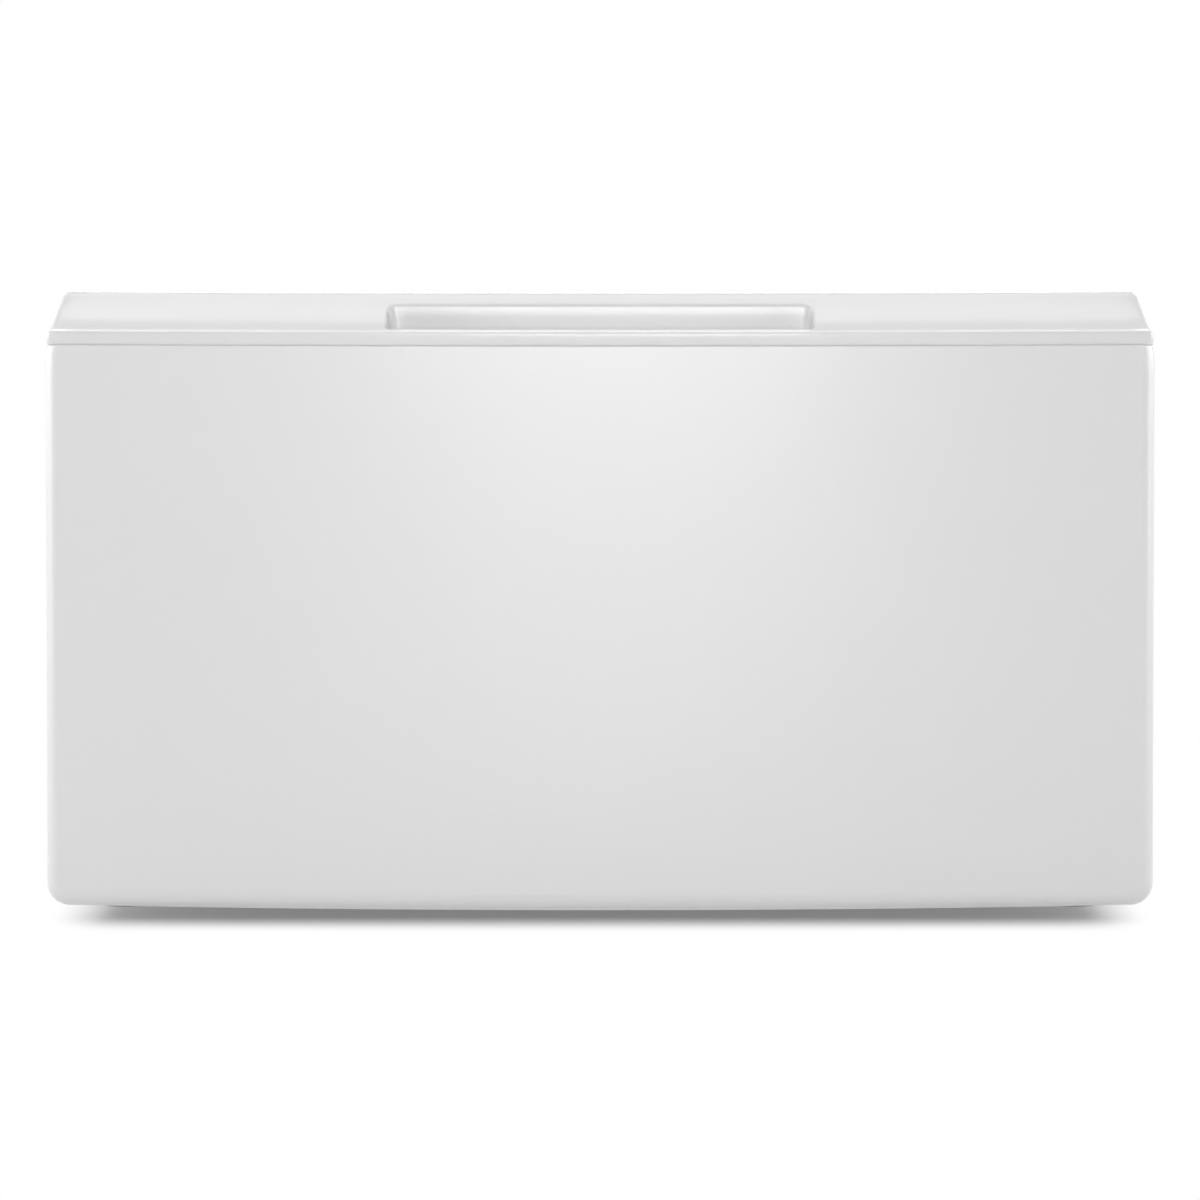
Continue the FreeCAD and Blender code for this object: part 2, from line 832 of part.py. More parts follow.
def hook(y_low, y_high, edge_top):
    # an upturned U over the edge that lies between y_low and y_high
    slot_low = y_low - divider_play
    slot_high = y_high + divider_play
    slot_top = edge_top + divider_play
    half = hook_width / 2
    block_y = (slot_low - hook_wall, slot_high + hook_wall)
    block = box(-half, half, *block_y, edge_top - hook_drop, slot_top + hook_wall)
    return block.cut(box(-width, width, slot_low, slot_high, drawer_bottom, slot_top))


def divider():
    half = divider_sheet / 2
    y_low = divider_rail_y + divider_play
    y_high = rear_wall_y - divider_play
    plate = box(-half, half, y_low, y_high, base_top + divider_floor_gap, divider_rail_top)
    front = hook(divider_rail_y - rail_sheet, divider_rail_y, divider_rail_top)
    rear = hook(rear_wall_y, rear_wall_y + drawer_sheet, rear_wall_top)
    return plate.fuse([front, rear]).removeSplitter()


# Fasteners


def screw(point, way, head_radius, head_height, length):
    # the head's underside is at the point, and the shank goes on in the given way
    shank = rod(screw_radius, point, way, length)
    head = rod(head_radius, point - way * head_height, way, head_height)
    crown = max(head.Edges, key=lambda e: (point - e.CenterOfMass).dot(way) if e.Closed else 0)
    head = head.makeFillet(min(screw_head_round, head_height / 2), [crown])
    return shank.fuse(head).removeSplitter()


def crossed(fastener, point, way, head_height):
    # cuts the driver's cross into a head
    aside = right_way if abs(way.x) == 0 else back_way
    other = way.cross(aside)
    top = point - way * (head_height - screw_slot_depth)
    for along, across in ((aside, other), (other, aside)):
        corner = top - along * screw_radius - across * (screw_slot_width / 2)
        ends = [corner, corner + along * 2 * screw_radius]
        ends += [ends[1] + across * screw_slot_width, corner + across * screw_slot_width]
        fastener = fastener.cut(polygon(ends).extrude(-way * overrun))
    return fastener


def front_screw_places():
    x = drawer_half - (bend_radius + drawer_flange) / 2
    y = front_rear_y + drawer_sheet
    levels = spread(drawer_bottom + front_screw_margin, drawer_top - front_screw_margin, front_screw_count)
    return [at(side * x, y, z) for side in (1, -1) for z in levels]


def front_screws():
    made = []
    for point in front_screw_places():
        plain = screw(point, -back_way, screw_head_radius, screw_head_height, screw_length)
        made.append(crossed(plain, point, -back_way, screw_head_height))
    return Part.makeCompound(made)


def trim_screws():
    level = panel_top - panel_sheet
    places = [at(x, front_y + boss_setback, level) for x in boss_places()]
    made = [screw(p, up_way, screw_head_radius, screw_head_height, screw_length) for p in places]
    return Part.makeCompound(made)


def rear_screw_places():
    x = cabinet_half - cabinet_flange / 2
    levels = spread(cabinet_bottom + rear_screw_margin, cabinet_top - rear_screw_margin, rear_screw_count)
    return [at(x, cabinet_rear_y, z) for z in levels]


def lid_screw_places():
    level = lid_top - lid_skirt / 2
    rows = (cabinet_front_y + lid_screw_margin, cabinet_rear_y - lid_screw_margin)
    return [at(lid_half, y, level) for y in rows]


def cabinet_screws():
    head = (flat_head_radius, flat_head_height)
    made = [screw(p, -back_way, *head, screw_length) for p in rear_screw_places()]
    made += [screw(p, -right_way, *head, screw_length) for p in lid_screw_places()]
    made += [mirrored(one) for one in made]
    return Part.makeCompound(made)


def rivet(flush_x, head_x):
    # a flat-ended rivet along X, with its domed head beyond head_x
    way = right_way * math.copysign(1, head_x - flush_x)
    made = []
    for y in rivet_places():
        start = at(flush_x, y, slide_level)
        shank = rod(rivet_radius, start, way, abs(head_x - flush_x))
        face = at(head_x, y, slide_level)
        head = rod(rivet_head_radius, face, way, rivet_head_height)
        crown = max(head.Edges, key=lambda e: (e.CenterOfMass - face).dot(way) if e.Closed else 0)
        head = head.makeFillet(rivet_head_height / 2, [crown])
        made.append(shank.fuse(head).removeSplitter())
    return made


def slide_rivets():
    made = rivet(slide_face - slide_sheet, slide_face + rail_sheet)
    return Part.makeCompound(made + [mirrored(one) for one in made])


def drawer_rivets():
    made = rivet(drawer_half + slide_sheet, drawer_inside)
    return Part.makeCompound(made + [mirrored(one) for one in made])


# Every piece, under its name


def pieces():
    found = {
        "drawer_front_panel": drawer_front_panel(),
        "drawer_inner_panel": drawer_inner_panel(),
        "handle_trim": handle_trim(),
        "rear_panel": rear_panel(),
        "top_plate": top_plate(),
        "front_top_rail": front_top_rail(),
        "front_base_rail": front_base_rail(),
        "rear_base_rail": rear_base_rail(),
        "drawer_bumpers": drawer_bumpers(),
        "weld_nuts": threaded_nuts(plate_top, plate_top + weld_nut_height),
        "lock_nuts": threaded_nuts(lock_nut_bottom, floor_level),
        "drawer_base": drawer_base(),
        "drawer_rear_wall": drawer_rear_wall(),
        "divider_rail": divider_rail(),
        "divider": divider(),
        "front_screws": front_screws(),
        "trim_screws": trim_screws(),
        "cabinet_screws": cabinet_screws(),
        "slide_rivets": slide_rivets(),
        "drawer_rivets": drawer_rivets(),
    }
    for corner, centre in foot_places().items():
        found["foot_bracket_" + corner] = foot_bracket(centre)
        found["foot_stem_" + corner] = foot_stem(centre)
        found["foot_pad_" + corner] = foot_pad(centre)
    for name, shape in right_hand_pieces().items():
        found[name + "_right"] = shape
        found[name + "_left"] = mirrored(shape)
    return found


def right_hand_pieces():
    outer_web = slide_face - slide_sheet - retainer_gap
    inner_web = outer_web - web_step
    return {
        "side_panel": cabinet_side(),
        "slide_channel": slide_channel(),
        "slide_outer": slide_outer(),
        "slide_middle": slide_middle(),
        "slide_inner": slide_inner(),
        "outer_retainer": ball_retainer(outer_web, middle_half),
        "inner_retainer": ball_retainer(inner_web, inner_half),
        "outer_balls": bearing_balls(middle_half),
        "inner_balls": bearing_balls(inner_half),
        "release_lever": release_lever(),
        "drawer_side": drawer_side(),
    }


os.makedirs("parts", exist_ok=True)
for node, shape in pieces().items():
    shape.exportStep("parts/" + node + ".step")
    print(node, len(shape.Solids), shape.isValid(), round(shape.Volume))
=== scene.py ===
import math

import bmesh
import bpy
from mathutils import Matrix, Vector


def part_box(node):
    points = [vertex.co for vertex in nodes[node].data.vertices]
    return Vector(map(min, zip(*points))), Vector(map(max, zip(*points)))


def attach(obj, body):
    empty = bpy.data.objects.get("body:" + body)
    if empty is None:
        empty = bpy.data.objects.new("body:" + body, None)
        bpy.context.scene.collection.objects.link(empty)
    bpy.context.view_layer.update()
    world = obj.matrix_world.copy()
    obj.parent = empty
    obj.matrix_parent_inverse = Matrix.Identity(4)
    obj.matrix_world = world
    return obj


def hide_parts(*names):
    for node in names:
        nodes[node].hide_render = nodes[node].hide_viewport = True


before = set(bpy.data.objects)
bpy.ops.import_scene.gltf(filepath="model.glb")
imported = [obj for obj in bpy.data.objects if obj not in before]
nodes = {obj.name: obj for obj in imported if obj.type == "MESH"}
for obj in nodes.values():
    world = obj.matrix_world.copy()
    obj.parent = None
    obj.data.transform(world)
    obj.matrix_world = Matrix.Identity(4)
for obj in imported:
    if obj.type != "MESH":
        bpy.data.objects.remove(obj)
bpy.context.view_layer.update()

scene = bpy.context.scene
scene.view_settings.view_transform = "Standard"
print("frame loaded:", len(nodes), "CAD nodes")

# where the mix node keeps its colour sockets
mixColors = {"a": 6, "b": 7, "result": 2}


# small helpers for node trees: a value is either a socket to link or a number or colour to set
def feed(tree, value, socket):
    if isinstance(value, bpy.types.NodeSocket):
        tree.links.new(value, socket)
    elif hasattr(value, "__len__") and socket.type == "RGBA":
        socket.default_value = (*value[:3], 1.0)
    else:
        socket.default_value = value


def addNode(tree, kind, settings=None, inputs=None):
    node = tree.nodes.new(kind)
    for key, value in (settings or {}).items():
        setattr(node, key, value)
    for key, value in (inputs or {}).items():
        feed(tree, value, node.inputs[key])
    return node


def calc(tree, operation, a, b=0.0, clamp=False):
    node = addNode(tree, "ShaderNodeMath", {"operation": operation, "use_clamp": clamp})
    feed(tree, a, node.inputs[0])
    feed(tree, b, node.inputs[1])
    return node.outputs[0]


# a value that runs from start to end comes out running from low to high
def spread(tree, value, low, high, start=0.0, end=1.0, smooth=False):
    kind = "SMOOTHSTEP" if smooth else "LINEAR"
    node = addNode(tree, "ShaderNodeMapRange", {"interpolation_type": kind, "clamp": True})
    for socket, item in zip(node.inputs, (value, start, end, low, high)):
        feed(tree, item, socket)
    return node.outputs[0]


def tint(tree, factor, a, b):
    node = addNode(tree, "ShaderNodeMix", {"data_type": "RGBA"})
    feed(tree, factor, node.inputs[0])
    feed(tree, a, node.inputs[mixColors["a"]])
    feed(tree, b, node.inputs[mixColors["b"]])
    return node.outputs[mixColors["result"]]


def objectPoint(tree, stretch=(1.0, 1.0, 1.0)):
    place = addNode(tree, "ShaderNodeTexCoord")
    inputs = {"Vector": place.outputs["Object"], "Scale": stretch}
    return addNode(tree, "ShaderNodeMapping", inputs=inputs).outputs[0]


def noise(tree, point, scale, detail=2.0, roughness=0.5):
    inputs = {"Vector": point, "Scale": scale, "Detail": detail, "Roughness": roughness}
    return addNode(tree, "ShaderNodeTexNoise", inputs=inputs).outputs["Fac"]


def newGroup(name, inputs, outputs):
    tree = bpy.data.node_groups.new(name, "ShaderNodeTree")
    for key, value in inputs.items():
        socket = tree.interface.new_socket(name=key, in_out="INPUT", socket_type="NodeSocketFloat")
        socket.default_value = value
    for key in outputs:
        tree.interface.new_socket(name=key, in_out="OUTPUT", socket_type="NodeSocketFloat")
    start = addNode(tree, "NodeGroupInput")
    end = addNode(tree, "NodeGroupOutput")
    return tree, start.outputs, end.inputs


def useGroup(tree, group, **inputs):
    node = addNode(tree, "ShaderNodeGroup", {"node_tree": group})
    for key, value in inputs.items():
        feed(tree, value, node.inputs[key])
    return node.outputs


# sprayed paint: a soft ripple, and a slow drift of tone over the sheet
def makePaintSkin():
    tree, given, put = newGroup("paintSkin", {"rippleScale": 450.0, "driftScale": 3.0}, ["ripple", "drift"])
    point = objectPoint(tree)
    feed(tree, noise(tree, point, given["rippleScale"], detail=1.5), put["ripple"])
    feed(tree, noise(tree, point, given["driftScale"]), put["drift"])
    return tree


# rubbed edges: where the surface turns sharply, broken up by noise
def makeEdgeWear():
    tree, given, put = newGroup("edgeWear", {"width": 0.001, "breakScale": 90.0, "amount": 0.5}, ["mask"])
    bevel = addNode(tree, "ShaderNodeBevel", {"samples": 4}, {"Radius": given["width"]})
    surface = addNode(tree, "ShaderNodeNewGeometry")
    dot = addNode(tree, "ShaderNodeVectorMath", {"operation": "DOT_PRODUCT"})
    feed(tree, bevel.outputs[0], dot.inputs[0])
    feed(tree, surface.outputs["Normal"], dot.inputs[1])
    turn = spread(tree, dot.outputs["Value"], 1.0, 0.0, start=0.72, end=0.97)
    grain = noise(tree, objectPoint(tree), given["breakScale"], detail=4.0, roughness=0.65)
    broken = spread(tree, grain, 0.0, 1.0, start=0.42, end=0.62)
    worn = calc(tree, "MULTIPLY", turn, broken)
    feed(tree, calc(tree, "MULTIPLY", worn, given["amount"], clamp=True), put["mask"])
    return tree


# dust that settles on what faces up, in patches
def makeDustFilm():
    tree, given, put = newGroup("dustFilm", {"patchScale": 14.0, "amount": 0.2}, ["mask"])
    surface = addNode(tree, "ShaderNodeNewGeometry")
    parts = addNode(tree, "ShaderNodeSeparateXYZ", inputs={"Vector": surface.outputs["Normal"]})
    facing = spread(tree, parts.outputs["Z"], 0.0, 1.0, start=0.35, end=0.95, smooth=True)
    point = objectPoint(tree)
    blotches = noise(tree, point, given["patchScale"], detail=5.0, roughness=0.6)
    patches = spread(tree, blotches, 0.15, 1.0, start=0.35, end=0.7)
    specks = spread(tree, noise(tree, point, scale=900.0), 0.6, 1.0, start=0.4, end=0.65)
    mask = calc(tree, "MULTIPLY", calc(tree, "MULTIPLY", facing, patches), specks)
    feed(tree, calc(tree, "MULTIPLY", mask, given["amount"], clamp=True), put["mask"])
    return tree


# zinc: flat crystals a few millimetres wide, and the fine lines of the rolling mill along the strip
def makeZincSkin():
    tree, given, put = newGroup("zincSkin", {"crystalScale": 160.0, "lineScale": 1400.0}, ["crystal", "lines"])
    inputs = {"Vector": objectPoint(tree), "Scale": given["crystalScale"]}
    cells = addNode(tree, "ShaderNodeTexVoronoi", inputs=inputs)
    parts = addNode(tree, "ShaderNodeSeparateColor", inputs={"Color": cells.outputs["Color"]})
    feed(tree, parts.outputs["Red"], put["crystal"])
    strip = objectPoint(tree, stretch=(1.0, 0.015, 1.0))
    feed(tree, noise(tree, strip, given["lineScale"], detail=3.0, roughness=0.6), put["lines"])
    return tree


# moulded plastic and rubber: the fine spark texture of the tool, and slow flow marks
def makeMouldGrain():
    tree, given, put = newGroup("mouldGrain", {"grainScale": 1800.0, "flowScale": 6.0}, ["grain", "flow"])
    point = objectPoint(tree)
    feed(tree, noise(tree, point, given["grainScale"], detail=3.0, roughness=0.6), put["grain"])
    feed(tree, noise(tree, point, given["flowScale"], detail=3.0, roughness=0.55), put["flow"])
    return tree


# where hands and cloths have been: wide soft smears in the gloss
def makeHandling():
    tree, given, put = newGroup("handling", {"smearScale": 9.0}, ["smear"])
    point = objectPoint(tree, stretch=(1.0, 1.0, 0.55))
    wiped = noise(tree, point, given["smearScale"], detail=4.0, roughness=0.6)
    feed(tree, spread(tree, wiped, 0.0, 1.0, start=0.38, end=0.68), put["smear"])
    return tree


paintSkin = makePaintSkin()
edgeWear = makeEdgeWear()
dustFilm = makeDustFilm()
zincSkin = makeZincSkin()
mouldGrain = makeMouldGrain()
handling = makeHandling()
print("node groups:", len(bpy.data.node_groups))

# what is worn off and what settles, shared by the finishes
dustGrey = (0.50, 0.48, 0.45)
primerGrey = (0.36, 0.36, 0.37)


def newMaterial(name, look):
    mat = bpy.data.materials.new(name)
    mat.use_nodes = True
    tree = mat.node_tree
    shader = tree.nodes["Principled BSDF"]
    shader.inputs["Metallic"].default_value = look.get("metallic", 0.0)
    shader.inputs["Coat Weight"].default_value = look.get("coat", 0.0)
    shader.inputs["Coat Roughness"].default_value = look.get("coatRoughness", 0.03)
    shader.inputs["IOR"].default_value = 1.5
    return mat, tree, shader.inputs


# rubbed edges and settled dust, on the looks that have them
def addWear(tree, look, color):
    if "wear" not in look:
        return color
    group = useGroup(tree, edgeWear, width=look["wearWidth"], breakScale=look["breakScale"], amount=look["wear"])
    return tint(tree, group["mask"], color, look["wearColor"])


def addDust(tree, look, color, rough, dulling):
    if "dust" not in look:
        return color, rough
    mask = useGroup(tree, dustFilm, patchScale=look["patchScale"], amount=look["dust"])["mask"]
    dull = calc(tree, "MULTIPLY", mask, dulling)
    return tint(tree, mask, color, dustGrey), calc(tree, "ADD", rough, dull, clamp=True)


def feedSurface(tree, surface, color, rough, height, depth):
    bump = addNode(tree, "ShaderNodeBump", inputs={"Height": height, "Strength": 1.0, "Distance": depth})
    feed(tree, color, surface["Base Color"])
    feed(tree, rough, surface["Roughness"])
    feed(tree, bump.outputs[0], surface["Normal"])


# painted sheet: drifting white, rubbed edges down to the grey primer, dust on top
def makePaint(name, look):
    mat, tree, surface = newMaterial(name, look)
    skin = useGroup(tree, paintSkin, rippleScale=look["rippleScale"], driftScale=look["driftScale"])
    smear = useGroup(tree, handling, smearScale=look["smearScale"])["smear"]
    drift = spread(tree, skin["drift"], 0.0, 1.0, start=0.3, end=0.7)
    color = addWear(tree, look, tint(tree, drift, look["color"], look["driftColor"]))
    color, rough = addDust(tree, look, color, spread(tree, smear, *look["roughness"]), dulling=0.5)
    feedSurface(tree, surface, color, rough, skin["ripple"], look["rippleDepth"])
    return mat


# plated sheet and fasteners: crystals in the colour, mill lines in the gloss
def makeZinc(name, look):
    mat, tree, surface = newMaterial(name, look)
    skin = useGroup(tree, zincSkin, crystalScale=look["crystalScale"], lineScale=look["lineScale"])
    smear = useGroup(tree, handling, smearScale=look["smearScale"])["smear"]
    color = tint(tree, skin["crystal"], look["color"], look["crystalColor"])
    color = tint(tree, calc(tree, "MULTIPLY", smear, look["haze"]), color, look["hazeColor"])
    rough = spread(tree, skin["lines"], *look["roughness"], start=0.25, end=0.75)
    rough = calc(tree, "ADD", rough, calc(tree, "MULTIPLY", skin["crystal"], look["crystalGloss"]))
    color, rough = addDust(tree, look, addWear(tree, look, color), rough, dulling=0.4)
    feedSurface(tree, surface, color, rough, skin["lines"], look["lineDepth"])
    return mat


# moulded pieces: grain in the surface, flow in the tone, edges rubbed paler
def makeMoulded(name, look):
    mat, tree, surface = newMaterial(name, look)
    skin = useGroup(tree, mouldGrain, grainScale=look["grainScale"], flowScale=look["flowScale"])
    smear = useGroup(tree, handling, smearScale=look["smearScale"])["smear"]
    flow = spread(tree, skin["flow"], 0.0, 1.0, start=0.3, end=0.7)
    color = addWear(tree, look, tint(tree, flow, look["color"], look["flowColor"]))
    color, rough = addDust(tree, look, color, spread(tree, smear, *look["roughness"]), dulling=0.3)
    feedSurface(tree, surface, color, rough, skin["grain"], look["grainDepth"])
    return mat


frontPaint = {
    "color": (0.800, 0.800, 0.797), "driftColor": (0.785, 0.786, 0.785), "roughness": (0.30, 0.35),
    "rippleScale": 420.0, "rippleDepth": 5e-6, "driftScale": 3.0, "smearScale": 7.0,
    "coat": 0.8, "coatRoughness": 0.28,
}
cabinetPaint = {
    "color": (0.780, 0.780, 0.775), "driftColor": (0.755, 0.757, 0.757), "roughness": (0.32, 0.42),
    "rippleScale": 700.0, "rippleDepth": 2.2e-5, "driftScale": 4.0, "smearScale": 10.0,
    "wear": 0.55, "wearWidth": 0.0012, "breakScale": 70.0, "wearColor": primerGrey,
    "dust": 0.22, "patchScale": 9.0, "coat": 0.1, "coatRoughness": 0.2,
}
drawerPaint = {
    "color": (0.745, 0.747, 0.745), "driftColor": (0.715, 0.718, 0.720), "roughness": (0.36, 0.48),
    "rippleScale": 800.0, "rippleDepth": 2.5e-5, "driftScale": 5.0, "smearScale": 12.0,
    "wear": 0.65, "wearWidth": 0.0010, "breakScale": 80.0, "wearColor": primerGrey,
    "dust": 0.30, "patchScale": 12.0,
}
handlePlastic = {
    "color": (0.800, 0.800, 0.797), "flowColor": (0.788, 0.789, 0.788), "roughness": (0.20, 0.27),
    "grainScale": 2200.0, "grainDepth": 2e-6, "flowScale": 5.0, "smearScale": 12.0,
    "coat": 0.2, "coatRoughness": 0.1,
}
dividerPlastic = {
    "color": (0.700, 0.708, 0.716), "flowColor": (0.660, 0.670, 0.682), "roughness": (0.38, 0.5),
    "grainScale": 1500.0, "grainDepth": 1.2e-5, "flowScale": 9.0, "smearScale": 14.0,
    "wear": 0.35, "wearWidth": 0.0012, "breakScale": 60.0, "wearColor": (0.80, 0.80, 0.80),
    "dust": 0.25, "patchScale": 16.0,
}
blackPlastic = {
    "color": (0.030, 0.030, 0.033), "flowColor": (0.042, 0.042, 0.045), "roughness": (0.42, 0.6),
    "grainScale": 2600.0, "grainDepth": 1.5e-5, "flowScale": 30.0, "smearScale": 40.0,
    "wear": 0.6, "wearWidth": 0.0007, "breakScale": 150.0, "wearColor": (0.13, 0.13, 0.135),
    "dust": 0.25, "patchScale": 40.0,
}
blackRubber = {
    "color": (0.026, 0.026, 0.027), "flowColor": (0.044, 0.043, 0.042), "roughness": (0.62, 0.82),
    "grainScale": 1900.0, "grainDepth": 3e-5, "flowScale": 45.0, "smearScale": 50.0,
    "wear": 0.7, "wearWidth": 0.0012, "breakScale": 120.0, "wearColor": (0.14, 0.135, 0.13),
    "dust": 0.45, "patchScale": 45.0,
}
zincSteel = {
    "color": (0.58, 0.59, 0.60), "crystalColor": (0.67, 0.68, 0.69), "metallic": 1.0, "roughness": (0.26, 0.42),
    "crystalScale": 190.0, "crystalGloss": 0.10, "lineScale": 1500.0, "lineDepth": 4e-6,
    "smearScale": 20.0, "haze": 0.35, "hazeColor": (0.50, 0.51, 0.53),
    "wear": 0.5, "wearWidth": 0.0008, "breakScale": 110.0, "wearColor": (0.74, 0.74, 0.73),
    "dust": 0.28, "patchScale": 25.0,
}
zincFastener = {
    "color": (0.56, 0.56, 0.54), "crystalColor": (0.60, 0.61, 0.62), "metallic": 1.0, "roughness": (0.24, 0.36),
    "crystalScale": 700.0, "crystalGloss": 0.06, "lineScale": 2600.0, "lineDepth": 2e-6,
    "smearScale": 90.0, "haze": 0.45, "hazeColor": (0.60, 0.57, 0.48),
    "wear": 0.6, "wearWidth": 0.0005, "breakScale": 260.0, "wearColor": (0.76, 0.75, 0.73),
    "dust": 0.2, "patchScale": 60.0,
}
bearingSteel = {
    "color": (0.66, 0.66, 0.66), "crystalColor": (0.70, 0.70, 0.70), "metallic": 1.0, "roughness": (0.07, 0.14),
    "crystalScale": 900.0, "crystalGloss": 0.02, "lineScale": 3000.0, "lineDepth": 5e-7,
    "smearScale": 200.0, "haze": 0.5, "hazeColor": (0.46, 0.42, 0.34),
    "dust": 0.12, "patchScale": 120.0,
}
retainerSteel = {
    "color": (0.44, 0.45, 0.46), "crystalColor": (0.48, 0.49, 0.50), "metallic": 1.0, "roughness": (0.30, 0.5),
    "crystalScale": 400.0, "crystalGloss": 0.05, "lineScale": 1900.0, "lineDepth": 5e-6,
    "smearScale": 35.0, "haze": 0.4, "hazeColor": (0.40, 0.37, 0.31),
    "wear": 0.6, "wearWidth": 0.0005, "breakScale": 160.0, "wearColor": (0.62, 0.62, 0.62),
    "dust": 0.2, "patchScale": 40.0,
}

materials = {
    "frontPaint": makePaint("frontPaint", frontPaint),
    "cabinetPaint": makePaint("cabinetPaint", cabinetPaint),
    "drawerPaint": makePaint("drawerPaint", drawerPaint),
    "handlePlastic": makeMoulded("handlePlastic", handlePlastic),
    "dividerPlastic": makeMoulded("dividerPlastic", dividerPlastic),
    "blackPlastic": makeMoulded("blackPlastic", blackPlastic),
    "blackRubber": makeMoulded("blackRubber", blackRubber),
    "zincSteel": makeZinc("zincSteel", zincSteel),
    "zincFastener": makeZinc("zincFastener", zincFastener),
    "bearingSteel": makeZinc("bearingSteel", bearingSteel),
    "retainerSteel": makeZinc("retainerSteel", retainerSteel),
}
print("materials:", len(materials))

# which finish each CAD node wears, by the start of its name; the first that fits counts
finishes = [
    ("drawer_front_panel", "frontPaint"), ("handle_trim", "handlePlastic"),
    ("drawer_bumpers", "blackRubber"), ("foot_pad", "blackRubber"), ("release_lever", "blackPlastic"),
    ("drawer_rivets", "zincFastener"), ("slide_rivets", "zincFastener"), ("front_screws", "zincFastener"),
    ("trim_screws", "zincFastener"), ("cabinet_screws", "zincFastener"), ("weld_nuts", "zincFastener"),
    ("lock_nuts", "zincFastener"), ("foot_stem", "zincFastener"), ("foot_bracket", "zincSteel"),
    ("slide_", "zincSteel"), ("outer_balls", "bearingSteel"), ("inner_balls", "bearingSteel"),
    ("outer_retainer", "retainerSteel"), ("inner_retainer", "retainerSteel"),
    ("divider_rail", "drawerPaint"), ("divider", "dividerPlastic"), ("drawer_", "drawerPaint"),
    ("side_panel", "cabinetPaint"), ("rear_panel", "cabinetPaint"), ("top_plate", "cabinetPaint"),
    ("front_top_rail", "cabinetPaint"), ("front_base_rail", "cabinetPaint"), ("rear_base_rail", "cabinetPaint"),
]
for name, node in nodes.items():
    finish = next(look for start, look in finishes if name.startswith(start))
    if not node.material_slots:
        node.data.materials.append(materials[finish])
    for place in node.material_slots:
        place.material = materials[finish]
print("CAD nodes dressed:", len(nodes))

# how near is near, in metres: on a plane, at one point, joined, beside
onPlane = 1e-7
samePoint = 1e-6
joined = 1e-5
beside = 1e-4


def vertsIn(geom):
    return [item for item in geom if isinstance(item, bmesh.types.BMVert)]


def edgesIn(geom):
    return [item for item in geom if isinstance(item, bmesh.types.BMEdge)]


def newPiece(name, mesh, material):
    data = bpy.data.meshes.new(name)
    mesh.to_mesh(data)
    mesh.free()
    data.materials.append(material)
    piece = bpy.data.objects.new(name, data)
    scene.collection.objects.link(piece)
    return piece


# the feet's threaded stems stand for the plain CAD ones: swivel head, neck, hexagon and a cut thread
stem = {
    "radius": 0.005, "root": 0.00412, "pitch": 0.0015, "crestShare": 0.12, "stepsPerTurn": 24, "spareTurns": 2,
    "headRadius": 0.008, "headHeight": 0.003, "headSides": 40, "headRound": 0.0003, "neckRadius": 0.0048,
    "hexAcross": 0.013, "hexRound": 0.0004, "padGap": 0.0004, "nutGap": 0.0005, "tip": 0.001,
}


def addRod(mesh, radius, low, high, place, segments=32, chamfer=0.0):
    made = bmesh.ops.create_cone(
        mesh, cap_ends=True, segments=segments, radius1=radius, radius2=radius, depth=high - low,
        matrix=Matrix.Translation((place.x, place.y, (low + high) / 2)))
    edges = {e for v in made["verts"] for e in v.link_edges}
    rims = [e for e in edges if abs(e.verts[0].co.z - e.verts[1].co.z) < onPlane]
    if chamfer:
        bmesh.ops.bevel(mesh, geom=rims, offset=chamfer, affect="EDGES", segments=2, profile=0.5, material=-1)


def addThread(mesh, low, high, place):
    pitch, root, crest = stem["pitch"], stem["root"], stem["radius"]
    flat = pitch * stem["crestShare"]
    start = low - stem["spareTurns"] * pitch
    turns = math.ceil((high - low) / pitch) + 2 * stem["spareTurns"]
    before = set(mesh.verts)

    def ownVerts():
        return [v for v in mesh.verts if v not in before]

    outline = [
        (root, 0.0), (root, flat), (crest, (pitch - flat) / 2), (crest, (pitch + flat) / 2), (root, pitch)]
    chain = [mesh.verts.new((r, 0.0, start + z)) for r, z in outline]
    edges = [mesh.edges.new(pair) for pair in zip(chain, chain[1:])]
    bmesh.ops.spin(
        mesh, geom=chain + edges, cent=(0, 0, 0), axis=(0, 0, 1), dvec=(0, 0, pitch / stem["stepsPerTurn"]),
        angle=turns * 2 * math.pi, steps=turns * stem["stepsPerTurn"], use_merge=False)
    bmesh.ops.remove_doubles(mesh, verts=ownVerts(), dist=samePoint)
    for height, side in ((low, -1), (high, 1)):
        own = ownVerts()
        geom = own + list({e for v in own for e in v.link_edges}) + list({f for v in own for f in v.link_faces})
        cut = bmesh.ops.bisect_plane(
            mesh, geom=geom, dist=onPlane, plane_co=(0, 0, height), plane_no=(0, 0, side), clear_outer=True)
        bmesh.ops.holes_fill(mesh, edges=edgesIn(cut["geom_cut"]), sides=0)
    for v in ownVerts():  # the first turns run out in a chamfer
        reach = math.hypot(v.co.x, v.co.y)
        room = crest - max(0.0, stem["tip"] - (high - v.co.z))
        if reach > room > 0:
            v.co.x *= room / reach
            v.co.y *= room / reach
    bmesh.ops.translate(mesh, verts=ownVerts(), vec=(place.x, place.y, 0))


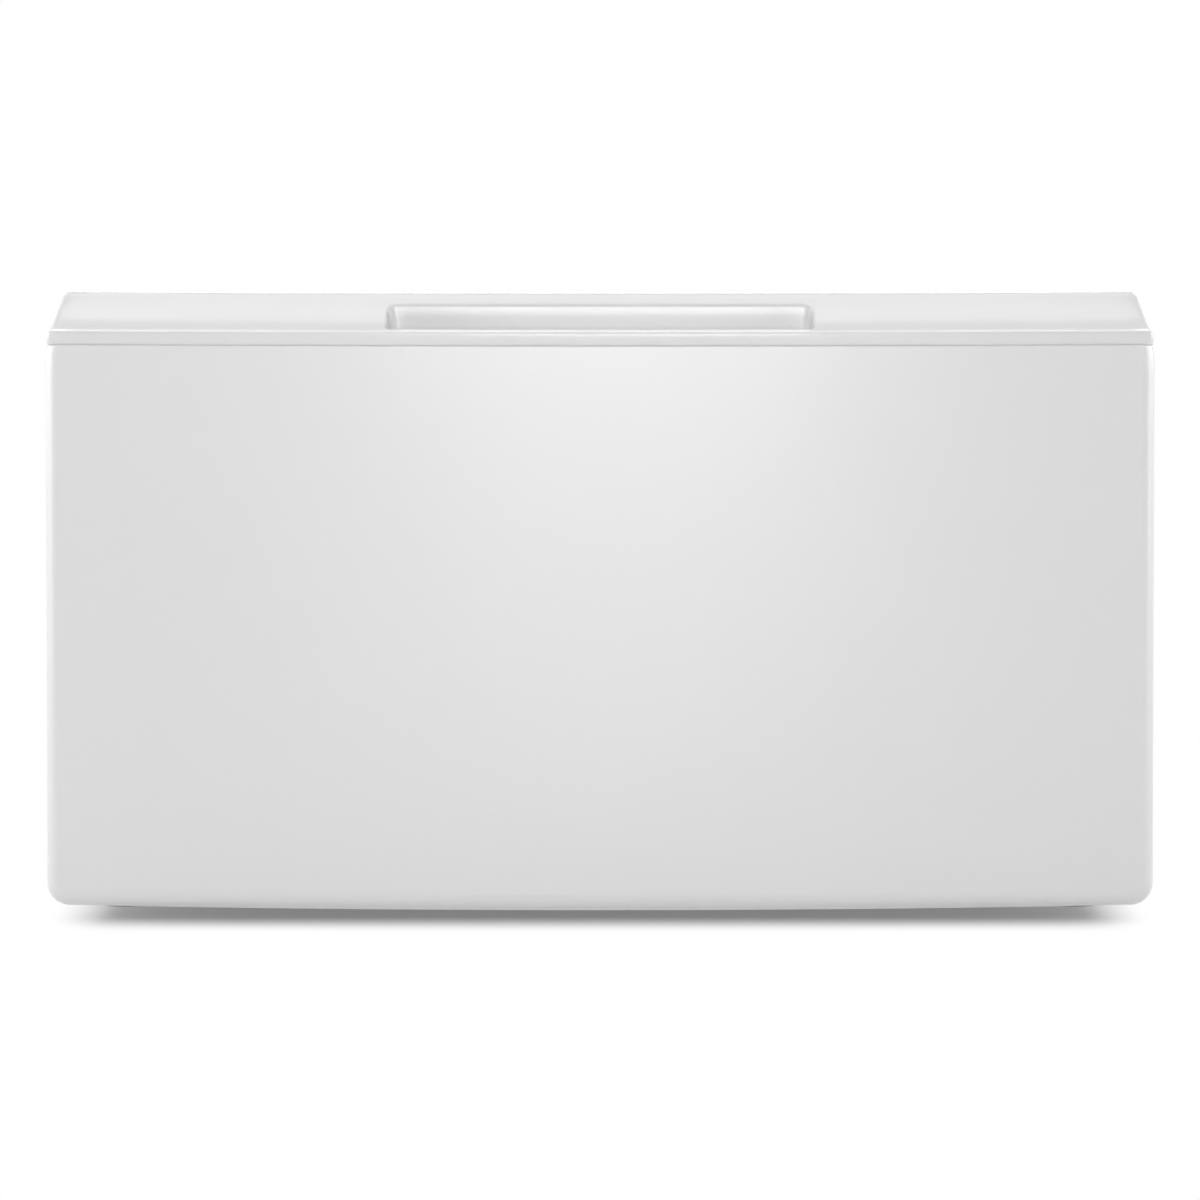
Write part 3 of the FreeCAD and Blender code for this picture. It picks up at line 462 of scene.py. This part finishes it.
def makeStem(corner):
    low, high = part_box("foot_stem_" + corner)
    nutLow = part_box("lock_nuts")[0].z
    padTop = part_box("foot_pad_" + corner)[1].z
    place = (low + high) / 2
    headHigh = low.z + stem["headHeight"]
    hexLow, hexHigh = padTop + stem["padGap"], nutLow - stem["nutGap"]
    mesh = bmesh.new()
    addRod(mesh, stem["headRadius"], low.z, headHigh, place, stem["headSides"], stem["headRound"])
    addRod(mesh, stem["neckRadius"], headHigh, hexLow, place)
    addRod(mesh, stem["hexAcross"] / math.sqrt(3), hexLow, hexHigh, place, segments=6, chamfer=stem["hexRound"])
    addThread(mesh, hexHigh, high.z, place)
    bmesh.ops.recalc_face_normals(mesh, faces=mesh.faces[:])
    piece = newPiece("threaded_stem_" + corner, mesh, materials["zincFastener"])
    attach(piece, "stem_" + corner)
    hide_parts("foot_stem_" + corner)
    return piece


stems = [makeStem(corner) for corner in ("front_left", "front_right", "rear_left", "rear_right")]
print("threaded stems:", len(stems), "with", sum(len(p.data.polygons) for p in stems), "faces")


# the moulded handle cap stands for the CAD trim: bead, hollow slope, flat crest, rounded ends and finger pocket
cap = {
    "height": 0.0324, "bowRadius": 1.567, "setback": 0.001, "wall": 0.0025, "sharpAngle": 38.0,
    "beadHeight": 0.0089, "beadToe": (0.0012, 0.0070), "beadRound": (0.0019, 0.0019), "beadTurn": 86.0,
    "toeSteps": 6, "beadSteps": 9,
    "slopeDepth": 0.041, "slopeSag": 0.00174, "slopeRows": (0.0, 0.108, 0.42, 0.784, 0.9, 1.0),
    "crestRun": 0.006, "crestDrop": 0.0018, "crestSwell": 0.45, "crestRows": (0.25, 0.5, 0.75, 1.0),
    "crestLift": 0.0013, "liftFrom": (0.23, 0.33), "liftCurve": 3, "liftMost": 0.75,
    "rearRoom": (0.0005, 0.006), "rearLean": 2.0,
    "endLine": (
        (0.0, 0.3419), (0.0057, 0.3419), (0.0072, 0.3414), (0.0082, 0.3406), (0.0087, 0.3398),
        (0.0292, 0.3338), (0.0308, 0.3326), (0.0319, 0.3310), (0.0324, 0.3290)),
    "endRound": 0.003, "endSteps": (0.003, 0.0017, 0.0008, 0.00025, 0.0),
    "columnAngle": 0.4, "pocketColumns": 9, "sideColumns": 15,
    "pocketLip": 0.008, "pocketBack": 0.033, "pocketHalf": (0.1318, 0.1312), "pocketRound": 0.0016,
    "floorDrop": 0.0178, "floorHalf": (0.1258, 0.1250), "lipDraft": 0.002, "backLean": -0.0002,
    "backBends": ((0.017, 0.0004), (0.006, -0.00015)), "cornerRounds": (0.003, 0.006), "cornerTurn": -0.7,
    "steepest": 0.35, "flattest": 0.5,
    "bossPlaces": (-0.27, -0.09, 0.09, 0.27), "bossSetback": 0.0415, "bossRadius": 0.004, "bossHole": 0.002,
    "bossHoleDepth": 0.010, "bossCover": 0.001, "bossSides": 24,
}


def between(value, start, end, low, high):
    share = min(1.0, max(0.0, (value - start) / (end - start)))
    return low + (high - low) * share


def rolled(centre, radii, fromAngle, turn, steps):
    angles = [math.radians(fromAngle - turn * k / steps) for k in range(steps + 1)]
    return [(centre[0] + radii[0] * math.cos(a), centre[1] + radii[1] * math.sin(a)) for a in angles]


# the cap's section as depth behind the front and height over its lower edge
def capProfile(far):
    front, toe, turn, bead = cap["setback"], cap["beadToe"], cap["beadRound"], cap["beadHeight"]
    points = rolled((front + toe[0], toe[1]), toe, 270.0, 90.0, cap["toeSteps"])
    points += rolled((front + turn[0], bead - turn[1]), turn, 180.0, cap["beadTurn"], cap["beadSteps"])
    start, crest = points.pop(), (cap["slopeDepth"], cap["height"] - cap["crestDrop"])
    for share in cap["slopeRows"]:
        sag = 4 * cap["slopeSag"] * share * (1 - share)
        depth = between(share, 0, 1, start[0], crest[0])
        points.append((depth, between(share, 0, 1, start[1], crest[1]) - sag))
    for share in cap["crestRows"]:
        rise = share + cap["crestSwell"] * share * (1 - share)
        points.append((crest[0] + cap["crestRun"] * share, crest[1] + cap["crestDrop"] * rise))
    return points + [(far, cap["height"])]


def capHeight(depth):
    points = capProfile(1.0)
    pairs = zip(points, points[1:])
    return next(between(depth, a[0], b[0], a[1], b[1]) for a, b in pairs if a[0] <= depth < b[0])


def capEnd(height):
    for (lowZ, lowX), (highZ, highX) in zip(cap["endLine"], cap["endLine"][1:]):
        if height <= highZ + samePoint:
            return between(height, lowZ, highZ, lowX, highX)
    return cap["endLine"][-1][1]


def pocketEnd(depth):
    return between(depth, cap["pocketLip"], cap["pocketBack"], *cap["pocketHalf"])


# where a column of the cap stands, and how far its rounded end draws it back
def capColumn(column, depth, height):
    pocket, sides = cap["pocketColumns"], cap["sideColumns"]
    inner, outer, last = pocketEnd(depth), capEnd(height) - cap["endRound"], capEnd(height)
    if column <= pocket:
        return inner * column / pocket, 0.0
    if column <= pocket + sides:
        return inner + (outer - inner) * (column - pocket) / sides, 0.0
    step, turn = cap["endSteps"][column - pocket - sides], cap["endRound"]
    return last - step, turn - math.sqrt(turn**2 - (turn - step) ** 2)


# towards the ends the slope climbs right up to the flat top
def capLift(x, depth, height):
    share = between(depth, cap["beadRound"][0], cap["slopeDepth"], 0.0, 1.0) ** cap["liftCurve"]
    lift = between(x, *cap["liftFrom"], 0.0, cap["crestLift"])
    return min(lift * share, cap["liftMost"] * (cap["height"] - height))


# the section is spun along the bow, and each column then moves to its own place
def addCapSkin(mesh, frontY, rearY, low):
    radius = cap["bowRadius"]
    centre = Vector((0, frontY + radius, 0))
    half = cap["pocketColumns"] + cap["sideColumns"] + len(cap["endSteps"]) - 1
    far = rearY - frontY
    spot = math.radians(cap["columnAngle"])
    chain = [mesh.verts.new((0, frontY + d, low + z)) for d, z in capProfile(far)]
    edges = [mesh.edges.new(pair) for pair in zip(chain, chain[1:])]
    bmesh.ops.rotate(mesh, verts=chain, cent=centre, matrix=Matrix.Rotation(-spot * half, 3, "Z"))
    bmesh.ops.spin(
        mesh, geom=chain + edges, cent=centre, axis=(0, 0, 1), dvec=(0, 0, 0), angle=2 * half * spot,
        steps=2 * half, use_merge=False)
    ends = {-1: [], 1: []}
    least, most = cap["rearRoom"]
    for v in mesh.verts:
        out = v.co - centre
        depth = radius - math.hypot(out.x, out.y)
        column = round(math.atan2(out.x, -out.y) / spot)
        side = -1 if column < 0 else 1
        x = capColumn(abs(column), depth, v.co.z - low)[0]
        v.co.z += capLift(x, depth, v.co.z - low)
        x, back = capColumn(abs(column), depth, v.co.z - low)
        y = centre.y - math.sqrt((radius - depth) ** 2 - x**2) + back
        v.co.x = side * x
        room = min(least + cap["rearLean"] * (low + cap["height"] - v.co.z), most)
        v.co.y = rearY if depth > far - joined else min(y, rearY - room)
        if abs(column) == half:
            ends[side].append(v)
    return ends


# end walls run straight back to the rear wall, which closes the cap
def addCapWalls(mesh, ends, rearY):
    feet = []
    for verts in ends.values():
        chain = [e for e in mesh.edges if e.verts[0] in verts and e.verts[1] in verts]
        rear = vertsIn(bmesh.ops.extrude_edge_only(mesh, edges=chain)["geom"])
        for v in rear:
            v.co.y = rearY
        feet.append(min(rear, key=lambda v: v.co.z))
    mesh.edges.new(feet)
    bmesh.ops.remove_doubles(mesh, verts=mesh.verts[:], dist=joined)
    free = [e for e in mesh.edges if len(e.link_faces) < 2]
    rim = [e for e in free if all(abs(v.co.y - rearY) < samePoint for v in e.verts)]
    bmesh.ops.holes_fill(mesh, edges=rim, sides=0)


# edges between the pocket's walls and the slope above or the floor below
def pocketRim(mesh, floor):
    mesh.normal_update()
    rim = []
    for e in mesh.edges:
        if len(e.link_faces) == 2 and max(abs(v.co.x) for v in e.verts) < cap["pocketHalf"][0] + beside:
            tilts = sorted(abs(f.normal.z) for f in e.link_faces)
            turns = tilts[0] < cap["steepest"] and tilts[1] > cap["flattest"]
            if turns and min(v.co.z for v in e.verts) > floor - beside:
                rim.append(e)
    return rim


def roundEdges(mesh, edges, offset, segments):
    bmesh.ops.bevel(
        mesh, geom=edges, offset=offset, affect="EDGES", segments=segments, profile=0.5, material=-1)


# the pocket is cut out of the slope, walled down to its floor and rounded; low is the cap's lower edge
def addCapPocket(mesh, frontY, low):
    centre = Vector((0, frontY + cap["bowRadius"], 0))

    def depthOf(point):
        return cap["bowRadius"] - math.hypot(point.x - centre.x, point.y - centre.y)

    lip, back, floor = cap["pocketLip"], cap["pocketBack"], low - cap["floorDrop"]
    inside = []
    for f in mesh.faces:
        point = f.calc_center_median()
        if lip < depthOf(point) < back and abs(point.x) < pocketEnd(depthOf(point)):
            inside.append(f)
    around = {e for f in inside for e in f.edges if any(other not in inside for other in e.link_faces)}
    bmesh.ops.delete(mesh, geom=inside, context="FACES")
    made = bmesh.ops.extrude_edge_only(mesh, edges=[e for e in around if e.is_valid])["geom"]
    feet = vertsIn(made)
    base = [e for e in edgesIn(made) if all(v in feet for v in e.verts)]
    for v in feet:
        depth = depthOf(v.co)
        x = v.co.x * between(depth, lip, back, *cap["floorHalf"]) / pocketEnd(depth)
        depth = between(depth, lip, back, lip + cap["lipDraft"], back - cap["backLean"])
        v.co = (x, centre.y - math.sqrt((cap["bowRadius"] - depth) ** 2 - x**2), floor)
    bmesh.ops.holes_fill(mesh, edges=base, sides=0)
    corners = ([], [])  # at the lip, at the back
    for v in feet:
        ways = [(e.other_vert(v).co - v.co).normalized() for e in v.link_edges if e in base]
        if ways[0].dot(ways[1]) > cap["cornerTurn"]:
            corners[depthOf(v.co) > (lip + back) / 2].extend(e for e in v.link_edges if e not in base)
    for edges, offset in zip(corners, cap["cornerRounds"]):
        roundEdges(mesh, edges, offset, segments=8)
    mesh.normal_update()
    bends = {}
    for height, bulge in cap["backBends"]:
        upright = [f for f in mesh.faces if abs(f.normal.z) < cap["flattest"]]
        walls = [f for f in upright if min(v.co.z for v in f.verts) < floor + beside]
        geom = walls + list({e for f in walls for e in f.edges}) + list({v for f in walls for v in f.verts})
        cut = bmesh.ops.bisect_plane(
            mesh, geom=geom, dist=onPlane, plane_co=(0, 0, low + height), plane_no=(0, 0, 1))
        bends.update({v: bulge for v in vertsIn(cut["geom_cut"])})
    for v, bulge in bends.items():  # the back wall leans back at its top and hollows out below
        v.co.y -= between(depthOf(v.co), back - cap["cornerRounds"][1], back, 0.0, bulge)
    roundEdges(mesh, pocketRim(mesh, floor), cap["pocketRound"], segments=5)


# the inner side is a copy of the skin moved in along its normals, joined to it round the open underside
def thickenCap(mesh):
    mesh.normal_update()
    made = bmesh.ops.duplicate(mesh, geom=mesh.verts[:] + mesh.edges[:] + mesh.faces[:])["geom"]
    ways = {v: v.normal.copy() for v in vertsIn(made)}
    for v, way in ways.items():
        v.co -= way * cap["wall"]
    bmesh.ops.reverse_faces(mesh, faces=[f for f in made if isinstance(f, bmesh.types.BMFace)])
    bmesh.ops.bridge_loops(mesh, edges=[e for e in mesh.edges if len(e.link_faces) == 1])


def addCapBosses(mesh, frontY, low):
    inner, outer, deep = cap["bossHole"], cap["bossRadius"], cap["bossHoleDepth"]
    for x in cap["bossPlaces"]:
        middle = Vector((x, frontY + cap["bossSetback"], low))
        depth = cap["bowRadius"] - math.hypot(x, cap["bowRadius"] - cap["bossSetback"])
        top = capHeight(depth - outer) - cap["bossCover"]
        before = set(mesh.verts)
        outline = [(0, deep), (inner, deep), (inner, 0), (outer, 0), (outer, top), (0, top)]
        chain = [mesh.verts.new(middle + Vector((r, 0, z))) for r, z in outline]
        edges = [mesh.edges.new(pair) for pair in zip(chain, chain[1:])]
        bmesh.ops.spin(
            mesh, geom=chain + edges, cent=middle, axis=(0, 0, 1), dvec=(0, 0, 0), angle=2 * math.pi,
            steps=cap["bossSides"], use_merge=True)
        own = [v for v in mesh.verts if v not in before]
        bmesh.ops.remove_doubles(mesh, verts=own, dist=samePoint)


def makeCap():
    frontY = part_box("drawer_front_panel")[0].y
    rearY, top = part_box("handle_trim")[1].y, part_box("handle_trim")[1].z
    low = top - cap["height"]
    mesh = bmesh.new()
    ends = addCapSkin(mesh, frontY, rearY, low)
    addCapWalls(mesh, ends, rearY)
    addCapPocket(mesh, frontY, low)
    bmesh.ops.recalc_face_normals(mesh, faces=mesh.faces[:])
    thickenCap(mesh)
    addCapBosses(mesh, frontY, low)
    piece = newPiece("handle_cap", mesh, materials["handlePlastic"])
    piece.data.shade_smooth()
    piece.data.set_sharp_from_angle(angle=math.radians(cap["sharpAngle"]))
    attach(piece, "drawer")
    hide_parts("handle_trim")
    return piece


handleCap = makeCap()
print("handle cap:", len(handleCap.data.polygons), "faces")


# white floor: near the object its real shadow shows, lightened by a painted glow, and further out the painted
# glow turns it plain white
floorLook = {
    "size": 60.0, "color": (0.80, 0.80, 0.80), "roughness": 0.6, "specular": 0.2,
    "shadowHalf": (0.303, 0.205), "fade": (0.045, 0.115), "least": 0.2,
}


def lightPathSees(tree):
    path = addNode(tree, "ShaderNodeLightPath")
    seen = calc(tree, "MAXIMUM", path.outputs["Is Camera Ray"], path.outputs["Is Glossy Ray"])
    return calc(tree, "MAXIMUM", seen, path.outputs["Is Transmission Ray"])


def makeFloor():
    mat = bpy.data.materials.new("studioFloor")
    mat.use_nodes = True
    tree = mat.node_tree
    shader = tree.nodes["Principled BSDF"]
    feed(tree, floorLook["color"], shader.inputs["Base Color"])
    feed(tree, floorLook["roughness"], shader.inputs["Roughness"])
    feed(tree, floorLook["specular"], shader.inputs["Specular IOR Level"])
    parts = addNode(tree, "ShaderNodeSeparateXYZ", inputs={"Vector": objectPoint(tree)})
    squares = []
    for axis, half, fade in zip("XY", floorLook["shadowHalf"], floorLook["fade"]):
        out = calc(tree, "SUBTRACT", calc(tree, "ABSOLUTE", parts.outputs[axis]), half)
        away = calc(tree, "DIVIDE", calc(tree, "MAXIMUM", out, 0.0), fade)
        squares.append(calc(tree, "POWER", away, 2.0))
    reach = calc(tree, "SQRT", calc(tree, "ADD", *squares))
    # painted light: the glow's share runs from its least under the object to full white past the fade, lifting
    # the shadow there and covering any shadow beyond
    white = spread(tree, reach, floorLook["least"], 1.0, smooth=True)
    glow = addNode(tree, "ShaderNodeEmission", inputs={"Color": (1.0, 1.0, 1.0), "Strength": 1.0})
    blend = addNode(tree, "ShaderNodeMixShader")
    feed(tree, calc(tree, "MULTIPLY", white, lightPathSees(tree)), blend.inputs[0])
    feed(tree, shader.outputs[0], blend.inputs[1])
    feed(tree, glow.outputs[0], blend.inputs[2])
    feed(tree, blend.outputs[0], tree.nodes["Material Output"].inputs["Surface"])
    mesh = bmesh.new()
    bmesh.ops.create_grid(mesh, x_segments=1, y_segments=1, size=floorLook["size"])
    floor = newPiece("studio_floor", mesh, mat)


makeFloor()
print("floor ready")


# soft studio: two wide boxes before the front, a card behind the camera, side, top and back boxes in a white room
studio = {
    "ambient": 0.15,
    "lamps": {
        "nearBox": {"place": (0.0, -1.75, 0.56), "aim": (0.0, -0.3, 0.28), "size": (0.9, 0.25), "power": 2.9},
        "nearHigh": {"place": (0.0, -1.75, 0.80), "aim": (0.0, -0.3, 0.28), "size": (1.0, 0.35), "power": 5.6},
        "frontCard": {"place": (0.15, -3.4, 0.6), "aim": (0.0, -0.3, 0.25), "size": (1.2, 0.8), "power": 9.5},
        "leftStrip": {"place": (-1.6, -0.9, 0.8), "aim": (-0.3, -0.3, 0.2), "size": (0.3, 1.4), "power": 1.0},
        "leftEdge": {"place": (-1.8, -0.35, 0.6), "aim": (-0.34, -0.28, 0.25), "size": (0.25, 1.0), "power": 4.5},
        "rightEdge": {"place": (1.8, -0.35, 0.6), "aim": (0.34, -0.28, 0.25), "size": (0.25, 1.0), "power": 4.5},
        "leftBox": {"place": (-1.9, 0.5, 0.9), "aim": (-0.34, 0.1, 0.2), "size": (0.8, 1.2), "power": 18.0},
        "rightBox": {"place": (1.9, 0.5, 0.9), "aim": (0.34, 0.1, 0.2), "size": (0.8, 1.2), "power": 13.0},
        "topBox": {"place": (0.0, 0.2, 2.4), "aim": (0.0, 0.1, 0.0), "size": (1.8, 1.8), "power": 18.0},
        "backBox": {"place": (0.0, 2.0, 1.4), "aim": (0.0, 0.3, 0.2), "size": (1.6, 0.8), "power": 12.0},
    },
}


def makeStudio():
    for name, lamp in studio["lamps"].items():
        light = bpy.data.lights.new(name, "AREA")
        light.shape = "RECTANGLE"
        light.size, light.size_y = lamp["size"]
        light.energy = lamp["power"]
        holder = bpy.data.objects.new(name, light)
        scene.collection.objects.link(holder)
        holder.location = lamp["place"]
        way = Vector(lamp["aim"]) - Vector(lamp["place"])
        holder.rotation_euler = way.to_track_quat("-Z", "Y").to_euler()
    world = bpy.data.worlds.new("whiteRoom")
    scene.world = world
    world.use_nodes = True
    tree = world.node_tree
    back = tree.nodes["Background"]
    feed(tree, (1.0, 1.0, 1.0), back.inputs["Color"])
    feed(tree, spread(tree, lightPathSees(tree), studio["ambient"], 1.0), back.inputs["Strength"])


makeStudio()

# the photograph's view: straight from the front, a little above, from far off
cameraView = {"place": (0.0, -5.3255, 0.478), "down": 3.115, "lens": 244.8, "sensor": 36.0}
cameraData = bpy.data.cameras.new("photoCamera")
cameraData.lens = cameraView["lens"]
cameraData.sensor_width = cameraView["sensor"]
camera = bpy.data.objects.new("photoCamera", cameraData)
scene.collection.objects.link(camera)
camera.location = cameraView["place"]
camera.rotation_euler = (math.radians(90.0 - cameraView["down"]), 0.0, 0.0)
scene.camera = camera
print("studio and camera ready")
